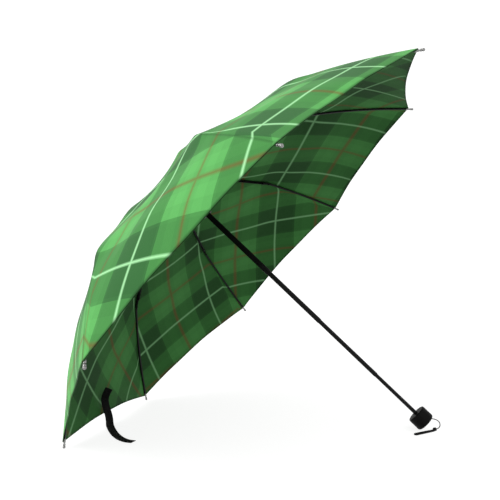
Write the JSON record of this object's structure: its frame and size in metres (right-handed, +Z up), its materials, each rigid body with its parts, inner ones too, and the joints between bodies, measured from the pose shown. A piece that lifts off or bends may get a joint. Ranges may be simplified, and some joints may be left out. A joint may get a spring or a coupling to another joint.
{
  "type": "folding umbrella",
  "caption": "Compact three-fold umbrella, open, with tartan canopy, jointed ribs, telescopic shaft, short round handle, wrist loop and tie strap.",
  "frame": {"origin": "on the ground below the middle of the resting umbrella's box; the umbrella lies open on its two lowest rib tips and the edge of its handle", "axes": "+Z up from the ground, +X towards the handle, +Y along the ground line through the two resting rib tips, away from the viewer; the crown leans to -X at about 45 degrees"},
  "size_m": [0.6549, 0.8922, 0.6417],
  "materials": {
    "canopy_cloth": "woven tartan print, dark, mid and light green with thin pale and red-brown lines, semi-matt",
    "black_webbing": "black woven tape",
    "black_cord": "black braided cord",
    "handle_plastic": "black, soft satin",
    "black_plastic": "black, satin gloss",
    "button_plastic": "dark grey, satin",
    "shaft_steel": "black enamel, satin",
    "rib_steel": "black enamel, semi-matt",
    "tip_metal": "nickel-plated end on a black socket",
    "ring_wire": "bright steel wire"
  },
  "bodies": {
    "handle": {"handle_body": "handle_plastic", "handle_end_cap": "handle_plastic", "handle_collar": "handle_plastic", "shaft_tube_4": "shaft_steel", "wrist_cord": "black_cord", "cord_bead": "black_plastic", "wrist_loop": "black_cord"},
    "lower_tube": {"shaft_tube_3": "shaft_steel"},
    "middle_tube": {"shaft_tube_2": "shaft_steel"},
    "upper_tube": {"shaft_tube_1": "shaft_steel", "notch": "black_plastic", "notch_ring": "ring_wire", "crown_washer": "black_plastic", "crown_cap": "black_plastic", "canopy": "canopy_cloth"},
    "runner": {"runner": "black_plastic", "runner_ring": "ring_wire"},
    "runner_button": {"runner_button": "button_plastic"},
    "inner_rib_1": {"inner_rib_1": "rib_steel"},
    "stretcher_1": {"stretcher_1": "rib_steel"},
    "middle_rib_1": {"middle_rib_1": "rib_steel"},
    "outer_rib_1": {"outer_rib_1": "rib_steel", "rib_tip_1": "tip_metal", "tie_strap": "black_webbing"},
    "inner_rib_2": {"inner_rib_2": "rib_steel"},
    "stretcher_2": {"stretcher_2": "rib_steel"},
    "middle_rib_2": {"middle_rib_2": "rib_steel"},
    "outer_rib_2": {"outer_rib_2": "rib_steel", "rib_tip_2": "tip_metal"},
    "inner_rib_3": {"inner_rib_3": "rib_steel"},
    "stretcher_3": {"stretcher_3": "rib_steel"},
    "middle_rib_3": {"middle_rib_3": "rib_steel"},
    "outer_rib_3": {"outer_rib_3": "rib_steel", "rib_tip_3": "tip_metal"},
    "inner_rib_4": {"inner_rib_4": "rib_steel"},
    "stretcher_4": {"stretcher_4": "rib_steel"},
    "middle_rib_4": {"middle_rib_4": "rib_steel"},
    "outer_rib_4": {"outer_rib_4": "rib_steel", "rib_tip_4": "tip_metal"},
    "inner_rib_5": {"inner_rib_5": "rib_steel"},
    "stretcher_5": {"stretcher_5": "rib_steel"},
    "middle_rib_5": {"middle_rib_5": "rib_steel"},
    "outer_rib_5": {"outer_rib_5": "rib_steel", "rib_tip_5": "tip_metal"},
    "inner_rib_6": {"inner_rib_6": "rib_steel"},
    "stretcher_6": {"stretcher_6": "rib_steel"},
    "middle_rib_6": {"middle_rib_6": "rib_steel"},
    "outer_rib_6": {"outer_rib_6": "rib_steel", "rib_tip_6": "tip_metal"},
    "inner_rib_7": {"inner_rib_7": "rib_steel"},
    "stretcher_7": {"stretcher_7": "rib_steel"},
    "middle_rib_7": {"middle_rib_7": "rib_steel"},
    "outer_rib_7": {"outer_rib_7": "rib_steel", "rib_tip_7": "tip_metal"},
    "inner_rib_8": {"inner_rib_8": "rib_steel"},
    "stretcher_8": {"stretcher_8": "rib_steel"},
    "middle_rib_8": {"middle_rib_8": "rib_steel"},
    "outer_rib_8": {"outer_rib_8": "rib_steel", "rib_tip_8": "tip_metal"}
  },
  "joints": [
    {"name": "lower_tube_slide", "type": "slide", "parent": "handle", "child": "lower_tube", "axis": [0.7075, 0, -0.7067], "range_m": [0, 0.092]},
    {"name": "middle_tube_slide", "type": "slide", "parent": "lower_tube", "child": "middle_tube", "axis": [0.7075, 0, -0.7067], "range_m": [0, 0.141]},
    {"name": "upper_tube_slide", "type": "slide", "parent": "middle_tube", "child": "upper_tube", "axis": [0.7075, 0, -0.7067], "range_m": [0, 0.132]},
    {"name": "canopy_fold", "type": "hinge", "parent": "upper_tube", "child": "inner_rib_1", "pos_m": [-0.16495, -0.00459, 0.46964], "axis": [0.2704, -0.9239, 0.2708], "range_deg": [0, 77], "deforming": ["canopy", "tie_strap"]},
    {"name": "stretcher_hinge_1", "type": "hinge", "parent": "inner_rib_1", "child": "stretcher_1", "pos_m": [-0.2163, -0.04272, 0.39083], "axis": [0.2704, -0.9239, 0.2708], "range_deg": [-154.05, 0]},
    {"name": "middle_rib_fold_1", "type": "hinge", "parent": "inner_rib_1", "child": "middle_rib_1", "pos_m": [-0.24574, -0.06303, 0.35093], "axis": [0.2704, -0.9239, 0.2708], "range_deg": [-189.05, 0]},
    {"name": "outer_rib_fold_1", "type": "hinge", "parent": "middle_rib_1", "child": "outer_rib_1", "pos_m": [-0.29646, -0.11562, 0.22214], "axis": [0.2704, -0.9239, 0.2708], "range_deg": [0, 158.64]},
    {"name": "inner_rib_fold_2", "type": "hinge", "parent": "upper_tube", "child": "inner_rib_2", "pos_m": [-0.16495, 0.00459, 0.46964], "axis": [-0.2704, -0.9239, -0.2708], "range_deg": [0, 77.05]},
    {"name": "stretcher_hinge_2", "type": "hinge", "parent": "inner_rib_2", "child": "stretcher_2", "pos_m": [-0.2163, 0.04272, 0.39083], "axis": [-0.2704, -0.9239, -0.2708], "range_deg": [-154.05, 0]},
    {"name": "middle_rib_fold_2", "type": "hinge", "parent": "inner_rib_2", "child": "middle_rib_2", "pos_m": [-0.24574, 0.06303, 0.35093], "axis": [-0.2704, -0.9239, -0.2708], "range_deg": [-189.05, 0]},
    {"name": "outer_rib_fold_2", "type": "hinge", "parent": "middle_rib_2", "child": "outer_rib_2", "pos_m": [-0.29646, 0.11562, 0.22214], "axis": [-0.2704, -0.9239, -0.2708], "range_deg": [0, 158.64]},
    {"name": "inner_rib_fold_3", "type": "hinge", "parent": "upper_tube", "child": "inner_rib_3", "pos_m": [-0.16036, 0.01109, 0.47424], "axis": [-0.6529, -0.3827, -0.6537], "range_deg": [0, 77.05]},
    {"name": "stretcher_hinge_3", "type": "hinge", "parent": "inner_rib_3", "child": "stretcher_3", "pos_m": [-0.17361, 0.10314, 0.43357], "axis": [-0.6529, -0.3827, -0.6537], "range_deg": [-154.05, 0]},
    {"name": "middle_rib_fold_3", "type": "hinge", "parent": "inner_rib_3", "child": "middle_rib_3", "pos_m": [-0.18275, 0.15217, 0.414], "axis": [-0.6529, -0.3827, -0.6537], "range_deg": [-189.05, 0]},
    {"name": "outer_rib_fold_3", "type": "hinge", "parent": "middle_rib_3", "child": "outer_rib_3", "pos_m": [-0.18091, 0.27914, 0.33783], "axis": [-0.6529, -0.3827, -0.6537], "range_deg": [0, 158.64]},
    {"name": "inner_rib_fold_4", "type": "hinge", "parent": "upper_tube", "child": "inner_rib_4", "pos_m": [-0.15387, 0.01109, 0.48074], "axis": [-0.6529, 0.3827, -0.6537], "range_deg": [0, 77.05]},
    {"name": "stretcher_hinge_4", "type": "hinge", "parent": "inner_rib_4", "child": "stretcher_4", "pos_m": [-0.11323, 0.10314, 0.49403], "axis": [-0.6529, 0.3827, -0.6537], "range_deg": [-154.05, 0]},
    {"name": "middle_rib_fold_4", "type": "hinge", "parent": "inner_rib_4", "child": "middle_rib_4", "pos_m": [-0.09366, 0.15217, 0.50319], "axis": [-0.6529, 0.3827, -0.6537], "range_deg": [-189.05, 0]},
    {"name": "outer_rib_fold_4", "type": "hinge", "parent": "middle_rib_4", "child": "outer_rib_4", "pos_m": [-0.01749, 0.27914, 0.50145], "axis": [-0.6529, 0.3827, -0.6537], "range_deg": [0, 158.64]},
    {"name": "inner_rib_fold_5", "type": "hinge", "parent": "upper_tube", "child": "inner_rib_5", "pos_m": [-0.14928, 0.00459, 0.48533], "axis": [-0.2704, 0.9239, -0.2708], "range_deg": [0, 77.05]},
    {"name": "stretcher_hinge_5", "type": "hinge", "parent": "inner_rib_5", "child": "stretcher_5", "pos_m": [-0.07053, 0.04272, 0.53677], "axis": [-0.2704, 0.9239, -0.2708], "range_deg": [-154.05, 0]},
    {"name": "middle_rib_fold_5", "type": "hinge", "parent": "inner_rib_5", "child": "middle_rib_5", "pos_m": [-0.03067, 0.06303, 0.56626], "axis": [-0.2704, 0.9239, -0.2708], "range_deg": [-189.05, 0]},
    {"name": "outer_rib_fold_5", "type": "hinge", "parent": "middle_rib_5", "child": "outer_rib_5", "pos_m": [0.09806, 0.11562, 0.61714], "axis": [-0.2704, 0.9239, -0.2708], "range_deg": [0, 158.64]},
    {"name": "inner_rib_fold_6", "type": "hinge", "parent": "upper_tube", "child": "inner_rib_6", "pos_m": [-0.14928, -0.00459, 0.48533], "axis": [0.2704, 0.9239, 0.2708], "range_deg": [0, 77.05]},
    {"name": "stretcher_hinge_6", "type": "hinge", "parent": "inner_rib_6", "child": "stretcher_6", "pos_m": [-0.07053, -0.04272, 0.53677], "axis": [0.2704, 0.9239, 0.2708], "range_deg": [-154.05, 0]},
    {"name": "middle_rib_fold_6", "type": "hinge", "parent": "inner_rib_6", "child": "middle_rib_6", "pos_m": [-0.03067, -0.06303, 0.56626], "axis": [0.2704, 0.9239, 0.2708], "range_deg": [-189.05, 0]},
    {"name": "outer_rib_fold_6", "type": "hinge", "parent": "middle_rib_6", "child": "outer_rib_6", "pos_m": [0.09806, -0.11562, 0.61714], "axis": [0.2704, 0.9239, 0.2708], "range_deg": [0, 158.64]},
    {"name": "inner_rib_fold_7", "type": "hinge", "parent": "upper_tube", "child": "inner_rib_7", "pos_m": [-0.15387, -0.01109, 0.48074], "axis": [0.6529, 0.3827, 0.6537], "range_deg": [0, 77.05]},
    {"name": "stretcher_hinge_7", "type": "hinge", "parent": "inner_rib_7", "child": "stretcher_7", "pos_m": [-0.11323, -0.10314, 0.49403], "axis": [0.6529, 0.3827, 0.6537], "range_deg": [-154.05, 0]},
    {"name": "middle_rib_fold_7", "type": "hinge", "parent": "inner_rib_7", "child": "middle_rib_7", "pos_m": [-0.09366, -0.15217, 0.50319], "axis": [0.6529, 0.3827, 0.6537], "range_deg": [-189.05, 0]},
    {"name": "outer_rib_fold_7", "type": "hinge", "parent": "middle_rib_7", "child": "outer_rib_7", "pos_m": [-0.01749, -0.27914, 0.50145], "axis": [0.6529, 0.3827, 0.6537], "range_deg": [0, 158.64]},
    {"name": "inner_rib_fold_8", "type": "hinge", "parent": "upper_tube", "child": "inner_rib_8", "pos_m": [-0.16036, -0.01109, 0.47424], "axis": [0.6529, -0.3827, 0.6537], "range_deg": [0, 77.05]},
    {"name": "stretcher_hinge_8", "type": "hinge", "parent": "inner_rib_8", "child": "stretcher_8", "pos_m": [-0.17361, -0.10314, 0.43357], "axis": [0.6529, -0.3827, 0.6537], "range_deg": [-154.05, 0]},
    {"name": "middle_rib_fold_8", "type": "hinge", "parent": "inner_rib_8", "child": "middle_rib_8", "pos_m": [-0.18275, -0.15217, 0.414], "axis": [0.6529, -0.3827, 0.6537], "range_deg": [-189.05, 0]},
    {"name": "outer_rib_fold_8", "type": "hinge", "parent": "middle_rib_8", "child": "outer_rib_8", "pos_m": [-0.18091, -0.27914, 0.33783], "axis": [0.6529, -0.3827, 0.6537], "range_deg": [0, 158.64]},
    {"name": "runner_travel", "type": "hinge", "parent": "stretcher_1", "child": "runner", "pos_m": [-0.13755, -0.00459, 0.44227], "axis": [0.2704, -0.9239, 0.2708], "range_deg": [0, 77.05]},
    {"name": "runner_button_press", "type": "slide", "parent": "runner", "child": "runner_button", "axis": [0, -1, 0], "range_m": [0, 0.0013], "stiffness_N_per_m": 800}
  ],
  "couplings": [
    {"joint": "stretcher_hinge_1", "follows": "canopy_fold", "ratio": -2},
    {"joint": "middle_rib_fold_1", "follows": "canopy_fold", "ratio": -2.4545},
    {"joint": "outer_rib_fold_1", "follows": "canopy_fold", "ratio": 2.0596},
    {"joint": "inner_rib_fold_2", "follows": "canopy_fold", "ratio": 1},
    {"joint": "stretcher_hinge_2", "follows": "canopy_fold", "ratio": -2},
    {"joint": "middle_rib_fold_2", "follows": "canopy_fold", "ratio": -2.4545},
    {"joint": "outer_rib_fold_2", "follows": "canopy_fold", "ratio": 2.0596},
    {"joint": "inner_rib_fold_3", "follows": "canopy_fold", "ratio": 1},
    {"joint": "stretcher_hinge_3", "follows": "canopy_fold", "ratio": -2},
    {"joint": "middle_rib_fold_3", "follows": "canopy_fold", "ratio": -2.4545},
    {"joint": "outer_rib_fold_3", "follows": "canopy_fold", "ratio": 2.0596},
    {"joint": "inner_rib_fold_4", "follows": "canopy_fold", "ratio": 1},
    {"joint": "stretcher_hinge_4", "follows": "canopy_fold", "ratio": -2},
    {"joint": "middle_rib_fold_4", "follows": "canopy_fold", "ratio": -2.4545},
    {"joint": "outer_rib_fold_4", "follows": "canopy_fold", "ratio": 2.0596},
    {"joint": "inner_rib_fold_5", "follows": "canopy_fold", "ratio": 1},
    {"joint": "stretcher_hinge_5", "follows": "canopy_fold", "ratio": -2},
    {"joint": "middle_rib_fold_5", "follows": "canopy_fold", "ratio": -2.4545},
    {"joint": "outer_rib_fold_5", "follows": "canopy_fold", "ratio": 2.0596},
    {"joint": "inner_rib_fold_6", "follows": "canopy_fold", "ratio": 1},
    {"joint": "stretcher_hinge_6", "follows": "canopy_fold", "ratio": -2},
    {"joint": "middle_rib_fold_6", "follows": "canopy_fold", "ratio": -2.4545},
    {"joint": "outer_rib_fold_6", "follows": "canopy_fold", "ratio": 2.0596},
    {"joint": "inner_rib_fold_7", "follows": "canopy_fold", "ratio": 1},
    {"joint": "stretcher_hinge_7", "follows": "canopy_fold", "ratio": -2},
    {"joint": "middle_rib_fold_7", "follows": "canopy_fold", "ratio": -2.4545},
    {"joint": "outer_rib_fold_7", "follows": "canopy_fold", "ratio": 2.0596},
    {"joint": "inner_rib_fold_8", "follows": "canopy_fold", "ratio": 1},
    {"joint": "stretcher_hinge_8", "follows": "canopy_fold", "ratio": -2},
    {"joint": "middle_rib_fold_8", "follows": "canopy_fold", "ratio": -2.4545},
    {"joint": "outer_rib_fold_8", "follows": "canopy_fold", "ratio": 2.0596},
    {"joint": "runner_travel", "follows": "canopy_fold", "ratio": 1}
  ]
}
